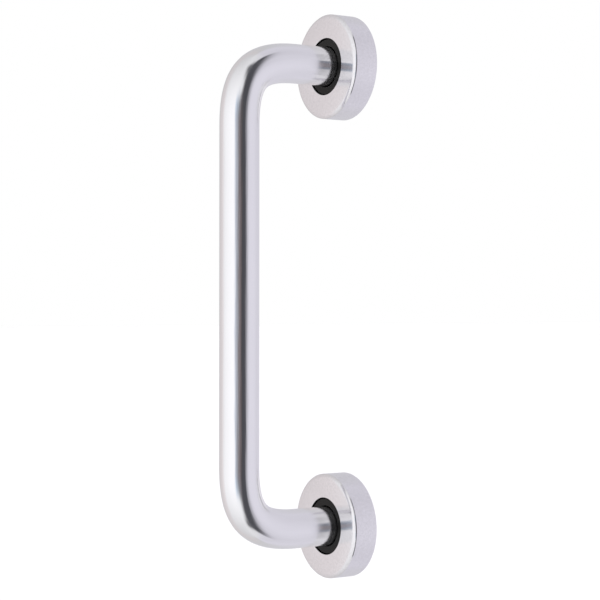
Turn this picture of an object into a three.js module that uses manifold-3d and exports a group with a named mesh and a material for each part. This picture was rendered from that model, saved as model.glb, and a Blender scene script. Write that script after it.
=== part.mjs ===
// Grab rail: a round aluminium bar bent into a D, standing on two round feet with concealed fixings.
//
// Millimetres, +Z up. The wall is the plane Y = 0 and the rail stands off it along -Y. The origin lies on
// the wall, midway between the two feet. Every piece of a foot is drawn on the foot's own axis, as a radius
// from that axis and a height above the wall.
//
// Under each cover, from the wall outwards: a steel mounting plate, a nylon rose whose boss fills the hole
// of the cover, and an O-ring on the rim of the rose that grips the cover. A countersunk screw from the back
// holds the plate to the end of the bar, and a pin stops the bar from turning on it.

import * as THREE from 'three';
import { mergeVertices } from 'three/addons/utils/BufferGeometryUtils.js';
import Module from 'manifold-3d';

const wasm = await Module();
wasm.setup();

// ---- driving dimensions ----

// Bar
const BAR_DIAMETER = 19;
const FOOT_CENTRES = 225; // centre to centre of the two feet
const BAR_PROJECTION = 62.3; // wall to the axis of the hand grip
const BEND_SETBACK = 31.7; // from the corner of the two axes to where each bend starts
const BEND_FULLNESS = 0.75; // how far each bend keeps to its two straights, as a share of the setback

// Cover
const COVER_DIAMETER = 51;
const COVER_HEIGHT = 13.2;
const COVER_WALL = 1.5;
const COVER_HOLE_DIAMETER = 27.8;
const COVER_EDGE_CHAMFER = 1.1; // 45 degrees, blended into the face and the side
const COVER_FACE_BLEND_RADIUS = 2.7;
const COVER_SIDE_BLEND_RADIUS = 1;
const COVER_INSIDE_RADIUS = 1.2;
const COVER_LIP_RADIUS = 0.3;

// Mounting plate
const PLATE_THICKNESS = 4;
const WALL_SCREW_COUNT = 3;
const WALL_SCREW_PITCH_RADIUS = 18.1;
const WALL_SCREW_CLEARANCE_DIAMETER = 5.2;

// Rose
const ROSE_FLANGE_THICKNESS = 3.7;
const ROSE_RECESS = 0.8; // top of the boss below the face of the cover
const ROSE_EDGE_RADIUS = 0.4;
const ROSE_SCREW_HOLE_DIAMETER = 4.8;
const ROSE_SCREW_SINK_DIAMETER = 8.4;
const RING_GROOVE_WIDTH = 1.9;
const RING_GROOVE_LIP = 0.9; // rose left below the groove
const RING_GROOVE_DEPTH = 1.3;
const RING_SECTION_DIAMETER = 1.3;

// End screw, M6 countersunk with a hexagon socket
const SCREW_DIAMETER = 6;
const SCREW_HEAD_DIAMETER = 11.4;
const SCREW_LENGTH = 16.2;
const SCREW_SINK = 0.3; // head below the back of the plate
const SCREW_SOCKET_ACROSS_FLATS = 4;
const SCREW_SOCKET_DEPTH = 2.2;
const SCREW_HOLE_DIAMETER = 6.6;
const SCREW_HEAD_SEAT_DIAMETER = 13;
const SCREW_TIP_CHAMFER = 0.8;
const SCREW_HOLE_DEPTH = 14;

// Locating pin
const PIN_DIAMETER = 2;
const PIN_OFFSET = 7.4; // from the axis of the bar
const PIN_CHAMFER = 0.3;
const PIN_HOLE_DIAMETER = 2.6;
const PIN_HOLE_IN_BAR = 6;
const PIN_HOLE_IN_PLATE = 3;

// Clearance between pieces that meet
const GAP = 0.3;

// ---- sizes that follow from them ----

const barRadius = BAR_DIAMETER / 2;
const coverRadius = COVER_DIAMETER / 2;
const coverBore = coverRadius - COVER_WALL;
const coverHole = COVER_HOLE_DIAMETER / 2;
const barEnd = PLATE_THICKNESS + GAP;
const roseBase = PLATE_THICKNESS + GAP;
const roseFlangeTop = roseBase + ROSE_FLANGE_THICKNESS;
const roseTop = COVER_HEIGHT - ROSE_RECESS;
const roseBoss = coverHole - GAP;
const ringOuter = coverBore - GAP;
const ringCentre = ringOuter - RING_SECTION_DIAMETER / 2;
const grooveFloor = ringOuter - RING_SECTION_DIAMETER - GAP;
const flangeRadius = grooveFloor + RING_GROOVE_DEPTH;
const grooveBase = roseBase + RING_GROOVE_LIP;

// ---- smoothness ----

const BAR_SIDES = 32;
const BEND_STEPS = 12;
const LEG_STEPS = 2;
const GRIP_STEPS = 4;
const ROUND_SIDES = 40; // covers, plates and roses
const RING_SIDES = 32;
const RING_SECTION_SIDES = 6;
const SMALL_SIDES = 20; // screws, pins and their holes
const EDGE_STEPS = 2; // half the number of flats on a rounded edge
const OVERCUT = 1; // how far a cutting tool runs past the face it enters

// ---- materials ----

function metal(name, color, roughness) {
  return new THREE.MeshStandardMaterial({ name, color, roughness, metalness: 1 });
}

function plastic(name, color, roughness) {
  return new THREE.MeshStandardMaterial({ name, color, roughness, metalness: 0 });
}

const barAluminium = metal('bar_aluminium', '#d6d6de', 0.22);
const coverAluminium = metal('cover_aluminium', '#d6d3d6', 0.35);
const blackNylon = plastic('black_nylon', '#2a2a28', 0.55);
const platedSteel = metal('plated_steel', '#b9bcc0', 0.38);
const screwSteel = metal('screw_steel', '#9a9ca1', 0.32);
const blackRubber = plastic('black_rubber', '#161616', 0.8);

// ---- solids ----

function toSolid(geometry) {
  const bare = geometry.clone();
  bare.deleteAttribute('normal');
  bare.deleteAttribute('uv');
  const merged = mergeVertices(bare);
  const vertProperties = merged.attributes.position.array;
  const triVerts = new Uint32Array(merged.index.array);
  return new wasm.Manifold(new wasm.Mesh({ numProp: 3, vertProperties, triVerts }));
}

function toGeometry(solid) {
  const mesh = solid.getMesh();
  const geometry = new THREE.BufferGeometry();
  geometry.setAttribute('position', new THREE.BufferAttribute(mesh.vertProperties, mesh.numProp));
  geometry.setIndex(new THREE.BufferAttribute(mesh.triVerts, 1));
  geometry.computeVertexNormals();
  return geometry;
}

function cut(geometry, tools) {
  let solid = toSolid(geometry);
  for (const tool of tools) {
    solid = solid.subtract(toSolid(tool));
  }
  return toGeometry(solid);
}

// A closed outline of radius and height, turned about the foot's axis.
function turned(outline, sides) {
  return new THREE.LatheGeometry(outline.getPoints(EDGE_STEPS), sides);
}

// A round bar from one height to another, centred on the axis or beside it.
function rod(radius, from, to, sides = SMALL_SIDES) {
  const geometry = new THREE.CylinderGeometry(radius, radius, to - from, sides);
  geometry.translate(0, (from + to) / 2, 0);
  return geometry;
}

// A cone whose radius changes from one height to another.
function cone(radiusLow, radiusHigh, from, to) {
  const geometry = new THREE.CylinderGeometry(radiusHigh, radiusLow, to - from, SMALL_SIDES);
  geometry.translate(0, (from + to) / 2, 0);
  return geometry;
}

// The same tool at each wall screw, spaced evenly round the foot, one of them in line with the pin.
function atEachWallScrew(makeTool) {
  const tools = [];
  for (let i = 0; i < WALL_SCREW_COUNT; i += 1) {
    const tool = makeTool();
    tool.translate(0, 0, WALL_SCREW_PITCH_RADIUS);
    tool.rotateY((i * 2 * Math.PI) / WALL_SCREW_COUNT);
    tools.push(tool);
  }
  return tools;
}

// ---- bar ----

// The bar's centreline, in equal steps along each of its stretches instead of along its whole length.
class SteppedPath extends THREE.Curve {
  constructor(stretches) {
    super();
    this.stretches = stretches;
    this.steps = stretches.reduce((sum, stretch) => sum + stretch.steps, 0);
  }

  getPoint(t, target = new THREE.Vector3()) {
    let station = t * this.steps;
    let i = 0;
    while (i < this.stretches.length - 1 && station > this.stretches[i].steps) {
      station -= this.stretches[i].steps;
      i += 1;
    }
    const stretch = this.stretches[i];
    return target.copy(stretch.curve.getPoint(station / stretch.steps));
  }

  getUtoTmapping(u) {
    return u;
  }
}

function barPath() {
  const footZ = FOOT_CENTRES / 2;
  const point = (y, z) => new THREE.Vector3(0, y, z);
  const bendStartY = -(BAR_PROJECTION - BEND_SETBACK);
  const bendEndZ = footZ - BEND_SETBACK;
  const handle = BEND_SETBACK * BEND_FULLNESS;
  const straight = (a, b, steps) => ({ curve: new THREE.LineCurve3(a, b), steps });
  const bend = (a, b, c, d) => ({ curve: new THREE.CubicBezierCurve3(a, b, c, d), steps: BEND_STEPS });
  const stretches = [
    straight(point(-barEnd, -footZ), point(bendStartY, -footZ), LEG_STEPS),
    bend(
      point(bendStartY, -footZ),
      point(bendStartY - handle, -footZ),
      point(-BAR_PROJECTION, -bendEndZ - handle),
      point(-BAR_PROJECTION, -bendEndZ),
    ),
    straight(point(-BAR_PROJECTION, -bendEndZ), point(-BAR_PROJECTION, bendEndZ), GRIP_STEPS),
    bend(
      point(-BAR_PROJECTION, bendEndZ),
      point(-BAR_PROJECTION, bendEndZ + handle),
      point(bendStartY - handle, footZ),
      point(bendStartY, footZ),
    ),
    straight(point(bendStartY, footZ), point(-barEnd, footZ), LEG_STEPS),
  ];
  return new SteppedPath(stretches);
}

function circleShape(radius, sides) {
  const shape = new THREE.Shape();
  for (let i = 0; i < sides; i += 1) {
    const angle = (i * 2 * Math.PI) / sides;
    const place = [radius * Math.cos(angle), radius * Math.sin(angle)];
    if (i === 0) shape.moveTo(...place);
    else shape.lineTo(...place);
  }
  shape.closePath();
  return shape;
}

// The holes in one end of the bar, drawn on the foot's axis and then moved to that foot.
function barEndTools(foot) {
  const screwHole = rod(SCREW_HOLE_DIAMETER / 2, barEnd - OVERCUT, barEnd + SCREW_HOLE_DEPTH);
  const pinHole = rod(PIN_HOLE_DIAMETER / 2, barEnd - OVERCUT, barEnd + PIN_HOLE_IN_BAR);
  pinHole.translate(0, 0, PIN_OFFSET);
  foot.updateMatrix();
  return [screwHole, pinHole].map((tool) => tool.applyMatrix4(foot.matrix));
}

function gripBar(feet) {
  const path = barPath();
  const swept = new THREE.ExtrudeGeometry(circleShape(barRadius, BAR_SIDES), {
    steps: path.steps,
    extrudePath: path,
  });
  return cut(swept, feet.flatMap(barEndTools));
}

// ---- pieces of a foot ----

function cover() {
  const outline = new THREE.Path();
  const faceUnderside = COVER_HEIGHT - COVER_WALL;
  const blendReach = Math.tan(Math.PI / 8); // from a corner to its blend, as a share of the radius
  const sideReach = COVER_EDGE_CHAMFER + blendReach * COVER_SIDE_BLEND_RADIUS;
  const faceReach = COVER_EDGE_CHAMFER + blendReach * COVER_FACE_BLEND_RADIUS;
  const side = [coverRadius - COVER_SIDE_BLEND_RADIUS, COVER_HEIGHT - sideReach];
  const face = [coverRadius - faceReach, COVER_HEIGHT - COVER_FACE_BLEND_RADIUS];
  const lip = [coverHole + COVER_LIP_RADIUS, COVER_HEIGHT - COVER_LIP_RADIUS];
  const inside = [coverBore - COVER_INSIDE_RADIUS, faceUnderside - COVER_INSIDE_RADIUS];
  outline.moveTo(coverBore, 0);
  outline.lineTo(coverRadius, 0);
  outline.absarc(...side, COVER_SIDE_BLEND_RADIUS, 0, Math.PI / 4, false);
  outline.absarc(...face, COVER_FACE_BLEND_RADIUS, Math.PI / 4, Math.PI / 2, false);
  outline.absarc(...lip, COVER_LIP_RADIUS, Math.PI / 2, Math.PI, false);
  outline.lineTo(coverHole, faceUnderside);
  outline.absarc(...inside, COVER_INSIDE_RADIUS, Math.PI / 2, 0, true);
  outline.closePath();
  return turned(outline, ROUND_SIDES);
}

function mountingPlate() {
  const blank = rod(flangeRadius, 0, PLATE_THICKNESS, ROUND_SIDES);
  const throughHole = rod(SCREW_HOLE_DIAMETER / 2, -OVERCUT, PLATE_THICKNESS + OVERCUT);
  const seatRadius = SCREW_HEAD_SEAT_DIAMETER / 2;
  const seatDepth = seatRadius - SCREW_HOLE_DIAMETER / 2;
  const seat = cone(seatRadius + OVERCUT, seatRadius - seatDepth, -OVERCUT, seatDepth);
  const pinHole = rod(
    PIN_HOLE_DIAMETER / 2,
    PLATE_THICKNESS - PIN_HOLE_IN_PLATE,
    PLATE_THICKNESS + OVERCUT,
  );
  pinHole.translate(0, 0, PIN_OFFSET);
  const wallHoles = atEachWallScrew(() =>
    rod(WALL_SCREW_CLEARANCE_DIAMETER / 2, -OVERCUT, PLATE_THICKNESS + OVERCUT),
  );
  return cut(blank, [throughHole, seat, pinHole, ...wallHoles]);
}

function rose() {
  const bore = barRadius + GAP;
  const edgeCentre = roseBoss - ROSE_EDGE_RADIUS;
  const edgeHeight = roseTop - ROSE_EDGE_RADIUS;
  const outline = new THREE.Path();
  outline.moveTo(bore, roseBase);
  outline.lineTo(flangeRadius, roseBase);
  outline.lineTo(flangeRadius, grooveBase);
  outline.lineTo(grooveFloor, grooveBase);
  outline.lineTo(grooveFloor, grooveBase + RING_GROOVE_WIDTH);
  outline.lineTo(flangeRadius, grooveBase + RING_GROOVE_WIDTH);
  outline.lineTo(flangeRadius, roseFlangeTop);
  outline.lineTo(roseBoss, roseFlangeTop);
  outline.absarc(edgeCentre, edgeHeight, ROSE_EDGE_RADIUS, 0, Math.PI / 2, false);
  outline.lineTo(bore, roseTop);
  outline.closePath();

  const holeRadius = ROSE_SCREW_HOLE_DIAMETER / 2;
  const sinkRadius = ROSE_SCREW_SINK_DIAMETER / 2;
  const sinkDepth = sinkRadius - holeRadius;
  const holes = atEachWallScrew(() => rod(holeRadius, roseBase - OVERCUT, roseFlangeTop + OVERCUT));
  const sinks = atEachWallScrew(() =>
    cone(holeRadius, sinkRadius + OVERCUT, roseFlangeTop - sinkDepth, roseFlangeTop + OVERCUT),
  );
  return cut(turned(outline, ROUND_SIDES), [...holes, ...sinks]);
}

function coverRing() {
  const centre = grooveBase + RING_GROOVE_WIDTH / 2;
  const outline = new THREE.Path();
  outline.absarc(ringCentre, centre, RING_SECTION_DIAMETER / 2, 0, 2 * Math.PI, false);
  return new THREE.LatheGeometry(outline.getPoints(RING_SECTION_SIDES / 2), RING_SIDES);
}

function endScrew() {
  const shank = SCREW_DIAMETER / 2;
  const head = SCREW_HEAD_DIAMETER / 2;
  const tip = SCREW_SINK + SCREW_LENGTH;
  const outline = new THREE.Path();
  outline.moveTo(0, SCREW_SINK);
  outline.lineTo(head, SCREW_SINK);
  outline.lineTo(shank, SCREW_SINK + head - shank);
  outline.lineTo(shank, tip - SCREW_TIP_CHAMFER);
  outline.lineTo(shank - SCREW_TIP_CHAMFER, tip);
  outline.lineTo(0, tip);
  const socketRadius = SCREW_SOCKET_ACROSS_FLATS / 2 / Math.cos(Math.PI / 6);
  const socket = rod(socketRadius, SCREW_SINK - OVERCUT, SCREW_SINK + SCREW_SOCKET_DEPTH, 6);
  return cut(turned(outline, SMALL_SIDES), [socket]);
}

function locatingPin() {
  const radius = PIN_DIAMETER / 2;
  const low = PLATE_THICKNESS - PIN_HOLE_IN_PLATE + GAP;
  const high = barEnd + PIN_HOLE_IN_BAR - GAP;
  const outline = new THREE.Path();
  outline.moveTo(0, low);
  outline.lineTo(radius - PIN_CHAMFER, low);
  outline.lineTo(radius, low + PIN_CHAMFER);
  outline.lineTo(radius, high - PIN_CHAMFER);
  outline.lineTo(radius - PIN_CHAMFER, high);
  outline.lineTo(0, high);
  const geometry = turned(outline, SMALL_SIDES / 2);
  geometry.translate(0, 0, PIN_OFFSET);
  return geometry;
}

// ---- assembly ----

function piece(name, geometry, material) {
  const mesh = new THREE.Mesh(geometry, material);
  mesh.name = name;
  return mesh;
}

// A foot's axis points away from the wall, and its pin lies on the side of the other foot.
function makeFoot(side, z, turn) {
  const foot = new THREE.Group();
  foot.position.set(0, 0, z);
  foot.rotation.set(0, turn, Math.PI, 'ZYX');
  foot.add(piece(`${side}_cover`, cover(), coverAluminium));
  foot.add(piece(`${side}_mounting_plate`, mountingPlate(), platedSteel));
  foot.add(piece(`${side}_fixing_rose`, rose(), blackNylon));
  foot.add(piece(`${side}_cover_o_ring`, coverRing(), blackRubber));
  foot.add(piece(`${side}_end_screw`, endScrew(), screwSteel));
  foot.add(piece(`${side}_locating_pin`, locatingPin(), screwSteel));
  return foot;
}

const upperFoot = makeFoot('upper', FOOT_CENTRES / 2, Math.PI);
const lowerFoot = makeFoot('lower', -FOOT_CENTRES / 2, 0);

const grabRail = new THREE.Group();
grabRail.add(piece('grip_bar', gripBar([upperFoot, lowerFoot]), barAluminium));
grabRail.add(upperFoot, lowerFoot);

export default grabRail;
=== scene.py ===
# Grab rail in a plain studio: a round aluminium bar on two covered feet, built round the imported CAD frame.
# Metres, +Z up, the wall at Y = 0 and the rail towards -Y.
import math

import bmesh
import bpy
from mathutils import Matrix, Vector


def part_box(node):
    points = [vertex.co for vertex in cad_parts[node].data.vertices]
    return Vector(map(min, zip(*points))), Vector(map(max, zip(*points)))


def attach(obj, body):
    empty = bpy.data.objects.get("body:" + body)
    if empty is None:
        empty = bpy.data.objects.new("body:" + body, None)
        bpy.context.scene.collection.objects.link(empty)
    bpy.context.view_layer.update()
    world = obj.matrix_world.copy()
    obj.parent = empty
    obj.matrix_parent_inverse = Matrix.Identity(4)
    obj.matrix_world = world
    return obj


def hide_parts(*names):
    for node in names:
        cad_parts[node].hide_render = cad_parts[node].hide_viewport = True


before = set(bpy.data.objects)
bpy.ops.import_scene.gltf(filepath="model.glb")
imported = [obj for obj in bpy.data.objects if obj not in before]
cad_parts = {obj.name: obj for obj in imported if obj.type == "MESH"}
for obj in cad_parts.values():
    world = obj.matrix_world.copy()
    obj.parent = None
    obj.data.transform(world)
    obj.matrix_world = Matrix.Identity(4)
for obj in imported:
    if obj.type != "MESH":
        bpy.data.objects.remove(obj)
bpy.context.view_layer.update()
scene = bpy.context.scene

MM = 0.001
FEET = ("upper", "lower")

# ---- sizes that come from the frame ----

bar_low, bar_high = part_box("grip_bar")
BAR_RADIUS = bar_high.x
BAR_END = -bar_high.y
PROJECTION = -bar_low.y - BAR_RADIUS
FOOT_Z = bar_high.z - BAR_RADIUS

cover_low, cover_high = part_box("upper_cover")
COVER_RADIUS = cover_high.x
COVER_HEIGHT = -cover_low.y

rose_low, rose_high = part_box("upper_fixing_rose")
FLANGE_RADIUS = rose_high.x
ROSE_BASE = -rose_high.y
ROSE_TOP = -rose_low.y

plate_low, plate_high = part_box("upper_mounting_plate")
PLATE_THICKNESS = -plate_low.y

ring_low, ring_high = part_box("upper_cover_o_ring")
RING_OUTER = ring_high.x
RING_SECTION_RADIUS = (ring_high.y - ring_low.y) / 2
RING_HEIGHT = -(ring_high.y + ring_low.y) / 2

screw_low, screw_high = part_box("upper_end_screw")
SCREW_HEAD_RADIUS = screw_high.x
SCREW_SINK = -screw_high.y
SCREW_TIP = -screw_low.y

pin_low, pin_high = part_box("upper_locating_pin")
PIN_RADIUS = (pin_high.z - pin_low.z) / 2
PIN_OFFSET = FOOT_Z - (pin_high.z + pin_low.z) / 2
PIN_BASE = -pin_high.y
PIN_TOP = -pin_low.y

# ---- sizes that the frame's boxes don't give ----

BEND_SETBACK = 31.7 * MM
BEND_FULLNESS = 0.75
BAR_CHAMFER = 0.6 * MM

COVER_WALL = 1.5 * MM
COVER_HOLE_RADIUS = 13.9 * MM
COVER_EDGE_CHAMFER = 1.1 * MM
COVER_FACE_BLEND_RADIUS = 2.7 * MM
COVER_SIDE_BLEND_RADIUS = 1.0 * MM
COVER_INSIDE_RADIUS = 1.2 * MM
COVER_OUTER_FILLET = 0.25 * MM
COVER_INNER_FILLET = 0.15 * MM

FIT_GAP = 0.3 * MM
FLANGE_TOP = 8.0 * MM
BOSS_RADIUS = 13.6 * MM
ROSE_BASE_FILLET = 0.2 * MM
FLANGE_FILLET = 0.35 * MM
BOSS_FILLET = 0.7 * MM
GROOVE_BASE = 5.2 * MM
GROOVE_WIDTH = 1.9 * MM
GROOVE_DEPTH = 1.3 * MM
GROOVE_FILLET = 0.15 * MM

WALL_SCREW_COUNT = 3
WALL_SCREW_PITCH_RADIUS = 18.1 * MM
ROSE_HOLE_RADIUS = 2.4 * MM
ROSE_SINK_RADIUS = 4.2 * MM
PLATE_HOLE_RADIUS = 2.6 * MM
PLATE_HOLE_CHAMFER = 0.25 * MM
PLATE_FILLET = 0.3 * MM

SCREW_HOLE_RADIUS = 3.3 * MM
SCREW_HOLE_DEPTH = 14.0 * MM
SCREW_SEAT_RADIUS = 6.5 * MM
SCREW_SHANK_RADIUS = 3.0 * MM
SCREW_HEAD_LIP = 0.15 * MM
SCREW_TIP_CHAMFER = 0.8 * MM
SOCKET_ACROSS_FLATS = 4.0 * MM
SOCKET_DEPTH = 2.2 * MM
SOCKET_CONE_DEPTH = 0.6 * MM
PIN_HOLE_RADIUS = 1.3 * MM
PIN_CHAMFER = 0.3 * MM

OVERCUT = 1.0 * MM  # how far a cutting tool reaches past the face that it cuts

# ---- camera ----

VIEW_AZIMUTH = 56.1
VIEW_ELEVATION = -0.09
VIEW_ROLL = 0.05
VIEW_DISTANCE = 0.839
VIEW_TARGET = Vector((3.55, -30.0, -1.85)) * MM
SENSOR_WIDTH = 36.0
LENS = 104.3
NEAREST = 0.01


def make_camera():
    azimuth, elevation = math.radians(VIEW_AZIMUTH), math.radians(VIEW_ELEVATION)
    back = Vector((
        math.sin(azimuth) * math.cos(elevation),
        -math.cos(azimuth) * math.cos(elevation),
        math.sin(elevation),
    ))
    data = bpy.data.cameras.new("camera")
    data.lens = LENS
    data.sensor_width = SENSOR_WIDTH
    data.clip_start = NEAREST
    camera = bpy.data.objects.new("camera", data)
    scene.collection.objects.link(camera)
    turn = back.to_track_quat("Z", "Y").to_matrix().to_4x4()
    roll = Matrix.Rotation(math.radians(VIEW_ROLL), 4, "Z")
    camera.matrix_world = Matrix.Translation(VIEW_TARGET + back * VIEW_DISTANCE) @ turn @ roll
    scene.camera = camera


# ---- nodes ----

WHITE = (1.0, 1.0, 1.0, 1.0)


def new_node(tree, kind, **settings):
    node = tree.nodes.new(kind)
    for key, value in settings.items():
        setattr(node, key, value)
    return node


def feed(tree, socket, value):
    """Links another node's output to the socket, or sets the socket to a plain value."""
    if isinstance(value, bpy.types.NodeSocket):
        tree.links.new(value, socket)
    else:
        socket.default_value = value


def calculated(tree, kind, operation, values):
    node = new_node(tree, kind, operation=operation)
    for socket, value in zip(node.inputs, values):
        feed(tree, socket, value)
    return node.outputs[0]


def maths(tree, operation, *values):
    return calculated(tree, "ShaderNodeMath", operation, values)


def vector_maths(tree, operation, *values):
    return calculated(tree, "ShaderNodeVectorMath", operation, values)


def split(tree, vector):
    node = new_node(tree, "ShaderNodeSeparateXYZ")
    feed(tree, node.inputs[0], vector)
    return node.outputs


def as_vector(tree, value):
    """A vector with the same value in its three parts."""
    node = new_node(tree, "ShaderNodeCombineXYZ")
    for socket in node.inputs:
        feed(tree, socket, value)
    return node.outputs[0]


def map_range(tree, value, from_low, from_high, to_low, to_high, kind="SMOOTHSTEP"):
    node = new_node(tree, "ShaderNodeMapRange", interpolation_type=kind)
    feed(tree, node.inputs["Value"], value)
    feed(tree, node.inputs["From Min"], from_low)
    feed(tree, node.inputs["From Max"], from_high)
    feed(tree, node.inputs["To Min"], to_low)
    feed(tree, node.inputs["To Max"], to_high)
    return node.outputs["Result"]


def mix_colors(tree, share, a, b):
    node = new_node(tree, "ShaderNodeMix", data_type="RGBA")
    for socket, value in ((0, share), (6, a), (7, b)):
        feed(tree, node.inputs[socket], value)
    return node.outputs[2]


def mix_values(tree, share, a, b):
    node = new_node(tree, "ShaderNodeMix", data_type="FLOAT")
    for socket, value in ((0, share), (2, a), (3, b)):
        feed(tree, node.inputs[socket], value)
    return node.outputs[0]


# ---- studio ----

# Bearings are in degrees from +X and elevations in degrees from eye level. Only the gap's left and right
# edges and the slope in brightness differ between the room above eye level and the room below it.

WARM = (1.06, 1.00, 1.01)
PLAIN = (1.00, 1.00, 1.02)
LAVENDER = (1.02, 1.00, 1.10)
BLUE = (0.97, 1.00, 1.12)
BROWN = (1.20, 1.00, 1.03)
UMBER = (1.08, 1.00, 1.05)

# The tent round the rail: bearing, brightness, tint.
EYE_LEVEL = (
    (-180, 0.60, WARM), (-165, 0.66, WARM), (-150, 0.68, WARM), (-140, 0.78, WARM),
    (-130, 0.89, PLAIN), (-118, 0.96, PLAIN), (-90, 1.04, PLAIN), (-70, 1.06, PLAIN),
    (-48, 1.01, PLAIN), (-25, 0.99, PLAIN), (0, 0.80, LAVENDER), (22, 0.71, LAVENDER),
    (40, 0.74, LAVENDER), (60, 0.74, LAVENDER), (90, 0.67, LAVENDER), (130, 0.67, LAVENDER),
    (165, 0.62, PLAIN), (180, 0.60, WARM),
)
OVERHEAD = (
    (-180, 0.62, WARM), (-150, 0.66, PLAIN), (-100, 0.73, PLAIN), (-55, 0.78, PLAIN),
    (-10, 0.76, PLAIN), (20, 0.66, LAVENDER), (45, 0.64, LAVENDER), (100, 0.69, LAVENDER),
    (150, 0.60, PLAIN), (180, 0.62, WARM),
)
EYE_LEVEL_END, OVERHEAD_START = 12, 62

# The dark gap in front of the rail: elevation and bearing along its left and its right edge.
GAP_COLOR = (0.075, 0.075, 0.085, 1.0)
GAP_LEFT = (
    (-60, -48), (-50, -42), (-40, -35), (-25, -34), (0, -31),
    (20, -27), (32, -31), (50, -42), (60, -48),
)
GAP_RIGHT = (
    (-60, 30), (-50, 19), (-40, 12), (-25, 10), (0, 13),
    (20, 13), (32, 13), (50, 24), (60, 34),
)
GAP_TOP = 59
GAP_LEFT_SOFTNESS = 9
GAP_RIGHT_SOFTNESS = 13
GAP_TOP_SOFTNESS = 3

# The stand at the gap's left: bearing, brightness, tint. It is brown at eye level and cooler further up.
STAND = (
    (-60, 0.95, PLAIN), (-56, 0.72, BLUE), (-51, 0.52, BLUE), (-45, 0.45, BLUE), (-41, 0.34, BLUE),
    (-37, 0.24, UMBER), (-31, 0.18, BROWN), (-26, 0.155, BROWN), (-20, 0.10, BROWN), (-14, 0.06, PLAIN),
)
STAND_LEFT_EDGE = (-60, -58)
STAND_RIGHT_EDGE = (-18, -14)
STAND_TOP = 19
STAND_TOP_SOFTNESS = 3
STAND_COOLING = (0.87, 1.00, 1.08, 1.0)
STAND_COOLING_HEIGHTS = (7, 12)

# The slope in brightness: the room is a little brighter below eye level than above it.
SLOPE_ELEVATION = 25
LEVEL_BELOW, LEVEL_ABOVE = 1.03, 0.975

FLOOR_LEVEL = -0.25
FLOOR_SIZE = 30.0
FLOOR_COLOR = (0.78, 0.78, 0.78, 1.0)
FLOOR_ROUGHNESS = 0.9

LAMP_STRENGTH = 2.6
LAMP_ANGLE = math.radians(60)
LAMP_TILT = (math.radians(20), math.radians(15), 0)


def ramp(tree, value, low, high, stops):
    node = new_node(tree, "ShaderNodeValToRGB")
    feed(tree, node.inputs["Fac"], map_range(tree, value, low, high, 0.0, 1.0, "LINEAR"))
    elements = node.color_ramp.elements
    elements.remove(elements[-1])
    for i, (where, color) in enumerate(stops):
        position = (where - low) / (high - low)
        element = elements[0] if i == 0 else elements.new(position)
        element.position = position
        element.color = (*color, 1.0)
    return node.outputs["Color"]


def round_the_room(tree, bearing, stops):
    """The colour at a bearing, from (bearing, brightness, tint) stops."""
    colors = [(where, [level * part for part in tint]) for where, level, tint in stops]
    return ramp(tree, bearing, -180, 180, colors)


def edge_bearing(tree, elevation, edge):
    """The bearing of an edge at an elevation. A ramp holds only 0 to 1, so -90 to 90 is scaled to that."""
    greys = [(where, [bearing / 180 + 0.5] * 3) for where, bearing in edge]
    return maths(tree, "MULTIPLY_ADD", ramp(tree, elevation, -90, 90, greys), 180.0, -90.0)


def past(tree, value, edge, softness):
    """0 below the edge, 1 above it."""
    return map_range(tree, value, edge - softness, edge + softness, 0.0, 1.0)


def below(tree, value, edge, softness):
    """1 below the edge, 0 above it."""
    return map_range(tree, value, edge - softness, edge + softness, 1.0, 0.0)


def tent_color(tree, bearing, height):
    upwards = map_range(tree, height, EYE_LEVEL_END, OVERHEAD_START, 0.0, 1.0, "LINEAR")
    eye_level = round_the_room(tree, bearing, EYE_LEVEL)
    return mix_colors(tree, upwards, eye_level, round_the_room(tree, bearing, OVERHEAD))


def gap_share(tree, bearing, elevation, height):
    """1 in the gap, 0 outside it."""
    from_left = maths(tree, "SUBTRACT", bearing, edge_bearing(tree, elevation, GAP_LEFT))
    from_right = maths(tree, "SUBTRACT", edge_bearing(tree, elevation, GAP_RIGHT), bearing)
    inside_left = past(tree, from_left, 0, GAP_LEFT_SOFTNESS)
    inside_right = past(tree, from_right, 0, GAP_RIGHT_SOFTNESS)
    below_top = below(tree, height, GAP_TOP, GAP_TOP_SOFTNESS)
    return maths(tree, "MULTIPLY", maths(tree, "MULTIPLY", inside_left, inside_right), below_top)


def stand_share(tree, bearing, height):
    """1 on the stand, 0 beside it."""
    inside_left = map_range(tree, bearing, *STAND_LEFT_EDGE, 0.0, 1.0, "LINEAR")
    inside_right = map_range(tree, bearing, *STAND_RIGHT_EDGE, 1.0, 0.0, "LINEAR")
    below_top = below(tree, height, STAND_TOP, STAND_TOP_SOFTNESS)
    return maths(tree, "MULTIPLY", below_top, maths(tree, "MULTIPLY", inside_left, inside_right))


def stand_color(tree, bearing, height):
    cooler = map_range(tree, height, *STAND_COOLING_HEIGHTS, 0.0, 1.0)
    cooling = mix_colors(tree, cooler, WHITE, STAND_COOLING)
    return vector_maths(tree, "MULTIPLY", round_the_room(tree, bearing, STAND), cooling)


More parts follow.
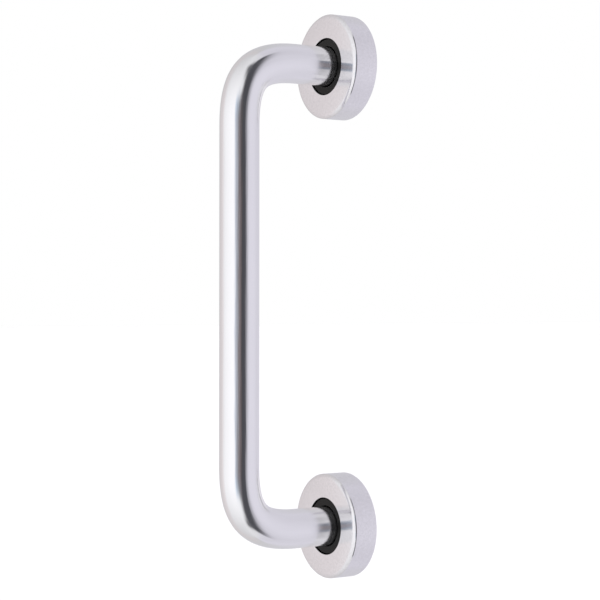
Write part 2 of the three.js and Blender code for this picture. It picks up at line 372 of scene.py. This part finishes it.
def make_world():
    """The room, which only reflections and light show: the camera itself sees plain white."""
    world = bpy.data.worlds.new("studio")
    scene.world = world
    world.use_nodes = True
    tree = world.node_tree
    tree.nodes.clear()
    x, y, z = split(tree, new_node(tree, "ShaderNodeTexCoord").outputs["Generated"])
    bearing = maths(tree, "DEGREES", maths(tree, "ARCTAN2", y, x))
    elevation = maths(tree, "DEGREES", maths(tree, "ARCSINE", z))
    height = maths(tree, "ABSOLUTE", elevation)

    in_gap = gap_share(tree, bearing, elevation, height)
    with_gap = mix_colors(tree, in_gap, tent_color(tree, bearing, height), GAP_COLOR)
    at_stand = stand_share(tree, bearing, height)
    room = mix_colors(tree, at_stand, with_gap, stand_color(tree, bearing, height))
    level = map_range(tree, elevation, -SLOPE_ELEVATION, SLOPE_ELEVATION, LEVEL_BELOW, LEVEL_ABOVE)

    seen = new_node(tree, "ShaderNodeLightPath").outputs["Is Camera Ray"]
    background = new_node(tree, "ShaderNodeBackground")
    feed(tree, background.inputs["Color"], mix_colors(tree, seen, room, WHITE))
    feed(tree, background.inputs["Strength"], mix_values(tree, seen, level, 1.0))
    output = new_node(tree, "ShaderNodeOutputWorld")
    feed(tree, output.inputs["Surface"], background.outputs[0])


def make_floor():
    mesh = bpy.data.meshes.new("floor")
    half = FLOOR_SIZE / 2
    corners = [(-half, -half), (half, -half), (half, half), (-half, half)]
    mesh.from_pydata([(x, y, FLOOR_LEVEL) for x, y in corners], [], [(0, 1, 2, 3)])
    floor = bpy.data.objects.new("floor", mesh)
    scene.collection.objects.link(floor)
    material, _, shader = new_material("floor")
    shader.inputs["Base Color"].default_value = FLOOR_COLOR
    shader.inputs["Roughness"].default_value = FLOOR_ROUGHNESS
    mesh.materials.append(material)
    floor.visible_glossy = False


def make_lights():
    data = bpy.data.lights.new("overhead", "SUN")
    data.energy = LAMP_STRENGTH
    data.angle = LAMP_ANGLE
    lamp = bpy.data.objects.new("overhead", data)
    lamp.rotation_euler = LAMP_TILT
    lamp.visible_glossy = False
    scene.collection.objects.link(lamp)


# ---- outlines ----

QUARTER_TURN_STEPS = 12


def rounded_outline(points):
    """Corner points as (radius, height, fillet), with each corner that has a fillet turned into an arc."""
    outline = []
    for i, (x, y, fillet) in enumerate(points):
        if fillet == 0:
            outline.append((x, y))
            continue
        corner = Vector((x, y))
        before = (Vector(points[i - 1][:2]) - corner).normalized()
        after = (Vector(points[(i + 1) % len(points)][:2]) - corner).normalized()
        half = before.angle(after) / 2
        setback = fillet / math.tan(half)
        centre = corner + (before + after).normalized() * (fillet / math.sin(half))
        start = corner + before * setback - centre
        end = corner + after * setback - centre
        sweep = start.angle_signed(end)
        steps = max(2, round(abs(sweep) / (math.pi / 2) * QUARTER_TURN_STEPS))
        for k in range(steps + 1):
            spoke = start.copy()
            spoke.rotate(Matrix.Rotation(-sweep * k / steps, 2))
            outline.append(tuple(centre + spoke))
    return outline


# ---- meshes ----

FINE_SIDES = 192
MEDIUM_SIDES = 128
SMALL_SIDES = 64
SHARP_ANGLE = math.radians(32)
WELD_DISTANCE = 1e-7


def finish_mesh(work, mesh):
    """Writes the bmesh to the mesh, welded, facing outwards and smooth except at sharp edges."""
    bmesh.ops.remove_doubles(work, verts=work.verts, dist=WELD_DISTANCE)
    bmesh.ops.recalc_face_normals(work, faces=work.faces)
    for face in work.faces:
        face.smooth = True
    work.to_mesh(mesh)
    work.free()
    mesh.set_sharp_from_angle(angle=SHARP_ANGLE)


def new_piece(name, work):
    mesh = bpy.data.meshes.new(name)
    finish_mesh(work, mesh)
    piece = bpy.data.objects.new(name, mesh)
    scene.collection.objects.link(piece)
    return piece


def turned_piece(name, outline, side, sides=FINE_SIDES, offset=0.0, bearing=0.0):
    """A solid turned from (radius, height) points, which close on themselves or end on the axis.

    The axis is that of the foot, or a line at an offset from it, towards the other foot at bearing 0.
    """
    toward = -1 if side == "upper" else 1
    foot_z = FOOT_Z if side == "upper" else -FOOT_Z
    centre = Vector((
        offset * math.sin(bearing),
        0,
        foot_z + toward * offset * math.cos(bearing),
    ))
    work = bmesh.new()
    rings = []
    for radius, height in outline:
        if radius == 0:
            rings.append([work.verts.new(centre + Vector((0, -height, 0)))])
            continue
        ring = []
        for k in range(sides):
            turn = 2 * math.pi * k / sides
            spoke = Vector((radius * math.cos(turn), -height, radius * math.sin(turn)))
            ring.append(work.verts.new(centre + spoke))
        rings.append(ring)
    for a, b in zip(rings, rings[1:] + rings[:1]):
        for k in range(sides):
            corners = [a[k % len(a)], a[(k + 1) % len(a)], b[(k + 1) % len(b)], b[k % len(b)]]
            corners = list(dict.fromkeys(corners))
            if len(corners) > 2:
                work.faces.new(corners)
    return new_piece(name, work)


def tool(outline, side, sides=SMALL_SIDES, offset=0.0, bearing=0.0):
    """A solid to cut with."""
    return turned_piece("tool", outline, side, sides, offset, bearing)


def wall_screw_tools(outline, side):
    bearings = [2 * math.pi * i / WALL_SCREW_COUNT for i in range(WALL_SCREW_COUNT)]
    return [tool(outline, side, offset=WALL_SCREW_PITCH_RADIUS, bearing=bearing) for bearing in bearings]


def cut(piece, tools):
    """Takes the tools out of the piece, one after another, and throws them away."""
    for cutter in tools:
        modifier = piece.modifiers.new("cut", "BOOLEAN")
        modifier.operation = "DIFFERENCE"
        modifier.solver = "EXACT"
        modifier.object = cutter
        bpy.context.view_layer.update()
        evaluated = piece.evaluated_get(bpy.context.evaluated_depsgraph_get())
        mesh = bpy.data.meshes.new_from_object(evaluated)
        piece.modifiers.clear()
        piece.data = mesh
        bpy.data.objects.remove(cutter)
    work = bmesh.new()
    work.from_mesh(piece.data)
    finish_mesh(work, piece.data)
    piece.data.name = piece.name
    return piece


# ---- bar ----

BAR_SIDES = 128
BEND_STEPS = 56
LEG_STEPS = 10
HALF_GRIP_STEPS = 30
BAR_UV = "along_and_round"


def bezier(a, b, c, d, t):
    s = 1 - t
    return a * s ** 3 + b * 3 * s * s * t + c * 3 * s * t * t + d * t ** 3


def bezier_slope(a, b, c, d, t):
    s = 1 - t
    return (b - a) * 3 * s * s + (c - b) * 6 * s * t + (d - c) * 3 * t * t


def half_centreline():
    """Points and directions from the middle of the grip up and round to the upper foot."""
    bend_z = FOOT_Z - BEND_SETBACK
    bend_y = -(PROJECTION - BEND_SETBACK)
    reach = BEND_SETBACK * BEND_FULLNESS
    controls = (
        Vector((0, -PROJECTION, bend_z)),
        Vector((0, -PROJECTION, bend_z + reach)),
        Vector((0, bend_y - reach, FOOT_Z)),
        Vector((0, bend_y, FOOT_Z)),
    )
    stations = []
    for k in range(HALF_GRIP_STEPS):
        height = bend_z * k / HALF_GRIP_STEPS
        stations.append((Vector((0, -PROJECTION, height)), Vector((0, 0, 1))))
    for k in range(BEND_STEPS):
        t = k / BEND_STEPS
        stations.append((bezier(*controls, t), bezier_slope(*controls, t).normalized()))
    for k in range(LEG_STEPS + 1):
        y = bend_y + (-BAR_END - bend_y) * k / LEG_STEPS
        stations.append((Vector((0, y, FOOT_Z)), Vector((0, 1, 0))))
    return stations


def bar_stations():
    """Points, directions and radii, from the end of one screw hole along the bar to that of the other."""
    upper = half_centreline()
    end, along = upper[-1]
    hole_cone = SCREW_HOLE_RADIUS / 2
    stations = [(place, direction, BAR_RADIUS) for place, direction in upper[:-1]]
    stations.append((end - along * BAR_CHAMFER, along, BAR_RADIUS))
    stations.append((end, along, BAR_RADIUS - BAR_CHAMFER))
    stations.append((end, along, SCREW_HOLE_RADIUS))
    stations.append((end - along * SCREW_HOLE_DEPTH, along, SCREW_HOLE_RADIUS))
    stations.append((end - along * (SCREW_HOLE_DEPTH + hole_cone), along, 0))
    mirrored = [
        (Vector((0, p.y, -p.z)), Vector((0, -d.y, d.z)), radius) for p, d, radius in stations[1:]
    ]
    return mirrored[::-1] + stations


def make_bar():
    """The bar swept along its centreline, with a map of metres along and round it."""
    work = bmesh.new()
    layer = work.loops.layers.uv.new(BAR_UV)
    rings = []
    lengths = []
    length = 0.0
    stations = bar_stations()
    previous = stations[0][0]
    for place, direction, radius in stations:
        length += (place - previous).length
        previous = place
        lengths.append(length)
        if radius == 0:
            rings.append([work.verts.new(place)])
            continue
        across = Vector((1, 0, 0))
        beside = direction.cross(across)
        ring = []
        for k in range(BAR_SIDES):
            turn = 2 * math.pi * k / BAR_SIDES
            spoke = across * math.cos(turn) + beside * math.sin(turn)
            ring.append(work.verts.new(place + spoke * radius))
        rings.append(ring)
    side_width = 2 * math.pi * BAR_RADIUS / BAR_SIDES
    for i in range(len(rings) - 1):
        for k in range(BAR_SIDES):
            corners = {}
            for j, side in ((i, k), (i, k + 1), (i + 1, k + 1), (i + 1, k)):
                vertex = rings[j][side % len(rings[j])]
                corners.setdefault(vertex, (lengths[j], side * side_width))
            face = work.faces.new(list(corners))
            for loop, uv in zip(face.loops, corners.values()):
                loop[layer].uv = uv
    return new_piece("bar", work)


# ---- pieces of a foot ----

RING_SECTION_SIDES = 24
SOCKET_SIDES = 6


def make_cover(side):
    bore = COVER_RADIUS - COVER_WALL
    under = COVER_HEIGHT - COVER_WALL
    outline = rounded_outline((
        (bore, 0, COVER_INNER_FILLET),
        (COVER_RADIUS, 0, COVER_OUTER_FILLET),
        (COVER_RADIUS, COVER_HEIGHT - COVER_EDGE_CHAMFER, COVER_SIDE_BLEND_RADIUS),
        (COVER_RADIUS - COVER_EDGE_CHAMFER, COVER_HEIGHT, COVER_FACE_BLEND_RADIUS),
        (COVER_HOLE_RADIUS, COVER_HEIGHT, COVER_OUTER_FILLET),
        (COVER_HOLE_RADIUS, under, COVER_INNER_FILLET),
        (bore, under, COVER_INSIDE_RADIUS),
    ))
    return turned_piece(f"{side}_cover_shell", outline, side)


def make_rose(side):
    bore = BAR_RADIUS + FIT_GAP
    groove_floor = FLANGE_RADIUS - GROOVE_DEPTH
    groove_top = GROOVE_BASE + GROOVE_WIDTH
    outline = rounded_outline((
        (bore, ROSE_BASE, 0),
        (FLANGE_RADIUS, ROSE_BASE, ROSE_BASE_FILLET),
        (FLANGE_RADIUS, GROOVE_BASE, GROOVE_FILLET),
        (groove_floor, GROOVE_BASE, 0),
        (groove_floor, groove_top, 0),
        (FLANGE_RADIUS, groove_top, GROOVE_FILLET),
        (FLANGE_RADIUS, FLANGE_TOP, FLANGE_FILLET),
        (BOSS_RADIUS, FLANGE_TOP, 0),
        (BOSS_RADIUS, ROSE_TOP, BOSS_FILLET),
        (bore, ROSE_TOP, BOSS_FILLET),
    ))
    sink_depth = ROSE_SINK_RADIUS - ROSE_HOLE_RADIUS
    screw_hole = (
        (0, ROSE_BASE - OVERCUT),
        (ROSE_HOLE_RADIUS, ROSE_BASE - OVERCUT),
        (ROSE_HOLE_RADIUS, FLANGE_TOP - sink_depth),
        (ROSE_SINK_RADIUS, FLANGE_TOP),
        (ROSE_SINK_RADIUS, FLANGE_TOP + OVERCUT),
        (0, FLANGE_TOP + OVERCUT),
    )
    piece = turned_piece(f"{side}_rose", outline, side)
    return cut(piece, wall_screw_tools(screw_hole, side))


def make_plate(side):
    seat_depth = SCREW_SEAT_RADIUS - SCREW_HOLE_RADIUS
    outline = rounded_outline((
        (SCREW_SEAT_RADIUS, 0, 0),
        (FLANGE_RADIUS, 0, PLATE_FILLET),
        (FLANGE_RADIUS, PLATE_THICKNESS, PLATE_FILLET),
        (SCREW_HOLE_RADIUS, PLATE_THICKNESS, 0),
        (SCREW_HOLE_RADIUS, seat_depth, 0),
    ))
    screw_hole = (
        (0, -OVERCUT),
        (PLATE_HOLE_RADIUS + PLATE_HOLE_CHAMFER + OVERCUT, -OVERCUT),
        (PLATE_HOLE_RADIUS, PLATE_HOLE_CHAMFER),
        (PLATE_HOLE_RADIUS, PLATE_THICKNESS + OVERCUT),
        (0, PLATE_THICKNESS + OVERCUT),
    )
    pin_hole = (
        (0, PIN_BASE - FIT_GAP),
        (PIN_HOLE_RADIUS, PIN_BASE - FIT_GAP),
        (PIN_HOLE_RADIUS, PLATE_THICKNESS + OVERCUT),
        (0, PLATE_THICKNESS + OVERCUT),
    )
    piece = turned_piece(f"{side}_plate", outline, side)
    return cut(piece, wall_screw_tools(screw_hole, side) + [tool(pin_hole, side, offset=PIN_OFFSET)])


def make_o_ring(side):
    middle = RING_OUTER - RING_SECTION_RADIUS
    outline = []
    for k in range(RING_SECTION_SIDES):
        turn = 2 * math.pi * k / RING_SECTION_SIDES
        outline.append((
            middle + RING_SECTION_RADIUS * math.cos(turn),
            RING_HEIGHT + RING_SECTION_RADIUS * math.sin(turn),
        ))
    return turned_piece(f"{side}_o_ring", outline, side)


def make_screw(side):
    cone_depth = SCREW_HEAD_RADIUS - SCREW_SHANK_RADIUS
    outline = (
        (0, SCREW_SINK),
        (SCREW_HEAD_RADIUS - SCREW_HEAD_LIP, SCREW_SINK),
        (SCREW_HEAD_RADIUS, SCREW_SINK + SCREW_HEAD_LIP),
        (SCREW_SHANK_RADIUS, SCREW_SINK + SCREW_HEAD_LIP + cone_depth),
        (SCREW_SHANK_RADIUS, SCREW_TIP - SCREW_TIP_CHAMFER),
        (SCREW_SHANK_RADIUS - SCREW_TIP_CHAMFER, SCREW_TIP),
        (0, SCREW_TIP),
    )
    socket_radius = SOCKET_ACROSS_FLATS / 2 / math.cos(math.pi / SOCKET_SIDES)
    socket = (
        (0, SCREW_SINK - OVERCUT),
        (socket_radius, SCREW_SINK - OVERCUT),
        (socket_radius, SCREW_SINK + SOCKET_DEPTH),
        (0, SCREW_SINK + SOCKET_DEPTH + SOCKET_CONE_DEPTH),
    )
    piece = turned_piece(f"{side}_screw", outline, side, MEDIUM_SIDES)
    return cut(piece, [tool(socket, side, SOCKET_SIDES)])


def make_pin(side):
    outline = (
        (0, PIN_BASE),
        (PIN_RADIUS - PIN_CHAMFER, PIN_BASE),
        (PIN_RADIUS, PIN_BASE + PIN_CHAMFER),
        (PIN_RADIUS, PIN_TOP - PIN_CHAMFER),
        (PIN_RADIUS - PIN_CHAMFER, PIN_TOP),
        (0, PIN_TOP),
    )
    return turned_piece(f"{side}_pin", outline, side, SMALL_SIDES, PIN_OFFSET)


# ---- materials ----

NOISE_LOW, NOISE_HIGH = 0.3, 0.7  # where most values of a noise lie
RING_LEAN = math.radians(2)  # how far the turned rings' flanks lean outwards
FACE_END = -0.97  # the normal's Y where the cover's face has turned into its edge


def new_material(name):
    material = bpy.data.materials.new(name)
    material.use_nodes = True
    return material, material.node_tree, material.node_tree.nodes["Principled BSDF"]


def texture_coordinates(tree, name):
    return new_node(tree, "ShaderNodeTexCoord").outputs[name]


def noise(tree, vector, scale=1.0, detail=2.0, stretch=(1, 1, 1)):
    """Noise with scale times stretch as its cells per metre."""
    mapping = new_node(tree, "ShaderNodeMapping")
    mapping.inputs["Scale"].default_value = stretch
    feed(tree, mapping.inputs["Vector"], vector)
    node = new_node(tree, "ShaderNodeTexNoise")
    node.inputs["Scale"].default_value = scale
    node.inputs["Detail"].default_value = detail
    feed(tree, node.inputs["Vector"], mapping.outputs["Vector"])
    return node.outputs["Fac"]


def vary_color(tree, shader, pattern, dark, light):
    feed(tree, shader.inputs["Base Color"], mix_colors(tree, pattern, (*dark, 1.0), (*light, 1.0)))


def vary_roughness(tree, shader, pattern, low, high):
    feed(tree, shader.inputs["Roughness"], map_range(tree, pattern, NOISE_LOW, NOISE_HIGH, low, high))


def bumped(tree, height, strength, distance, normal=None):
    """The surface's own normal, or the given one, with the height's bumps on it."""
    bump = new_node(tree, "ShaderNodeBump")
    bump.inputs["Strength"].default_value = strength
    bump.inputs["Distance"].default_value = distance
    feed(tree, bump.inputs["Height"], height)
    if normal is not None:
        feed(tree, bump.inputs["Normal"], normal)
    return bump.outputs["Normal"]


def bar_aluminium():
    """Bright anodised bar, slightly wavy, with faint lines drawn along it that spread a reflection."""
    material, tree, shader = new_material("bar_aluminium")
    shader.inputs["Metallic"].default_value = 1.0
    shader.inputs["Anisotropic"].default_value = 0.88
    tangent = new_node(tree, "ShaderNodeTangent", direction_type="UV_MAP", uv_map=BAR_UV)
    feed(tree, shader.inputs["Tangent"], tangent.outputs["Tangent"])

    uv = new_node(tree, "ShaderNodeUVMap", uv_map=BAR_UV).outputs["UV"]
    cloud = noise(tree, uv, stretch=(45, 90, 1))
    vary_color(tree, shader, cloud, (0.915, 0.909, 0.923), (0.945, 0.939, 0.953))
    drawn = noise(tree, uv, detail=3.0, stretch=(60, 4200, 1))
    vary_roughness(tree, shader, drawn, 0.125, 0.165)
    waves = noise(tree, uv, stretch=(34, 620, 1))
    wavy = bumped(tree, waves, strength=1.0, distance=0.06 * MM)
    lined = bumped(tree, drawn, strength=0.05, distance=0.02 * MM, normal=wavy)
    feed(tree, shader.inputs["Normal"], lined)
    return material


def outward_lean(tree):
    """The normal on a cover, leant away from the cover's axis on the face and as it is elsewhere."""
    across = (1, 0, 1)
    centre = (-0.5, 0, -0.5)  # generated coordinates run from 0 to 1 across the cover
    generated = texture_coordinates(tree, "Generated")
    from_centre = vector_maths(tree, "MULTIPLY_ADD", generated, across, centre)
    outward = vector_maths(tree, "NORMALIZE", from_centre)
    normal = new_node(tree, "ShaderNodeNewGeometry").outputs["Normal"]
    facing = split(tree, normal)["Y"]
    lean = map_range(tree, facing, -1.0, FACE_END, math.tan(RING_LEAN), 0.0)
    leaning = vector_maths(tree, "MULTIPLY_ADD", outward, as_vector(tree, lean), normal)
    return vector_maths(tree, "NORMALIZE", leaning)


def cover_aluminium():
    """Turned and anodised, with a fine mottle. The face's rings, one flank steeper, spread a reflection."""
    material, tree, shader = new_material("cover_aluminium")
    shader.inputs["Metallic"].default_value = 1.0
    shader.inputs["Anisotropic"].default_value = 0.82
    shader.inputs["Anisotropic Rotation"].default_value = 0.25
    tangent = new_node(tree, "ShaderNodeTangent", direction_type="RADIAL", axis="Y")
    feed(tree, shader.inputs["Tangent"], tangent.outputs["Tangent"])

    position = texture_coordinates(tree, "Object")
    mottle = noise(tree, position, scale=900, detail=3.0)
    vary_color(tree, shader, mottle, (0.79, 0.779, 0.796), (0.975, 0.961, 0.981))
    vary_roughness(tree, shader, mottle, 0.165, 0.195)
    grain = noise(tree, position, scale=2600, detail=2.0)
    grainy = bumped(tree, grain, strength=0.06, distance=0.02 * MM, normal=outward_lean(tree))
    feed(tree, shader.inputs["Normal"], grainy)
    return material


def black_nylon():
    material, tree, shader = new_material("black_nylon")
    shader.inputs["Specular IOR Level"].default_value = 0.17
    position = texture_coordinates(tree, "Object")
    cloud = noise(tree, position, scale=500, detail=3.0)
    vary_color(tree, shader, cloud, (0.004, 0.004, 0.0035), (0.008, 0.008, 0.007))
    grain = noise(tree, position, scale=5200, detail=2.0)
    vary_roughness(tree, shader, grain, 0.24, 0.32)
    feed(tree, shader.inputs["Normal"], bumped(tree, grain, strength=0.12, distance=0.03 * MM))
    return material


def plated_steel(name, dark, light):
    material, tree, shader = new_material(name)
    shader.inputs["Metallic"].default_value = 1.0
    position = texture_coordinates(tree, "Object")
    spangle = noise(tree, position, scale=420, detail=4.0)
    vary_color(tree, shader, spangle, dark, light)
    vary_roughness(tree, shader, spangle, 0.26, 0.42)
    rolled = noise(tree, position, scale=900, detail=3.0, stretch=(1, 1, 0.12))
    feed(tree, shader.inputs["Normal"], bumped(tree, rolled, strength=0.15, distance=0.03 * MM))
    return material


def black_rubber():
    material, tree, shader = new_material("black_rubber")
    shader.inputs["Specular IOR Level"].default_value = 0.35
    bloom = noise(tree, texture_coordinates(tree, "Object"), scale=700, detail=3.0)
    vary_color(tree, shader, bloom, (0.008, 0.008, 0.008), (0.018, 0.018, 0.018))
    vary_roughness(tree, shader, bloom, 0.6, 0.8)
    feed(tree, shader.inputs["Normal"], bumped(tree, bloom, strength=0.2, distance=0.04 * MM))
    return material


# ---- assembly ----

def place(piece, material, slot, body, node):
    piece.data.materials.clear()
    piece.data.materials.append(material)
    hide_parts(node)
    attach(piece, body)


def build():
    bar = bar_aluminium()
    shell = cover_aluminium()
    nylon = black_nylon()
    plate = plated_steel("plated_steel", (0.60, 0.61, 0.64), (0.76, 0.77, 0.79))
    screw = plated_steel("screw_steel", (0.50, 0.51, 0.53), (0.66, 0.67, 0.69))
    rubber = black_rubber()
    place(make_bar(), bar, "bar_aluminium", "rail", "grip_bar")
    for side in FEET:
        place(make_cover(side), shell, "cover_aluminium", f"{side}_cover", f"{side}_cover")
        place(make_rose(side), nylon, "black_nylon", "rail", f"{side}_fixing_rose")
        place(make_plate(side), plate, "plated_steel", "rail", f"{side}_mounting_plate")
        place(make_o_ring(side), rubber, "black_rubber", "rail", f"{side}_cover_o_ring")
        place(make_screw(side), screw, "screw_steel", "rail", f"{side}_end_screw")
        place(make_pin(side), screw, "screw_steel", "rail", f"{side}_locating_pin")


scene.view_settings.view_transform = "Standard"
make_camera()
make_world()
make_floor()
make_lights()
build()
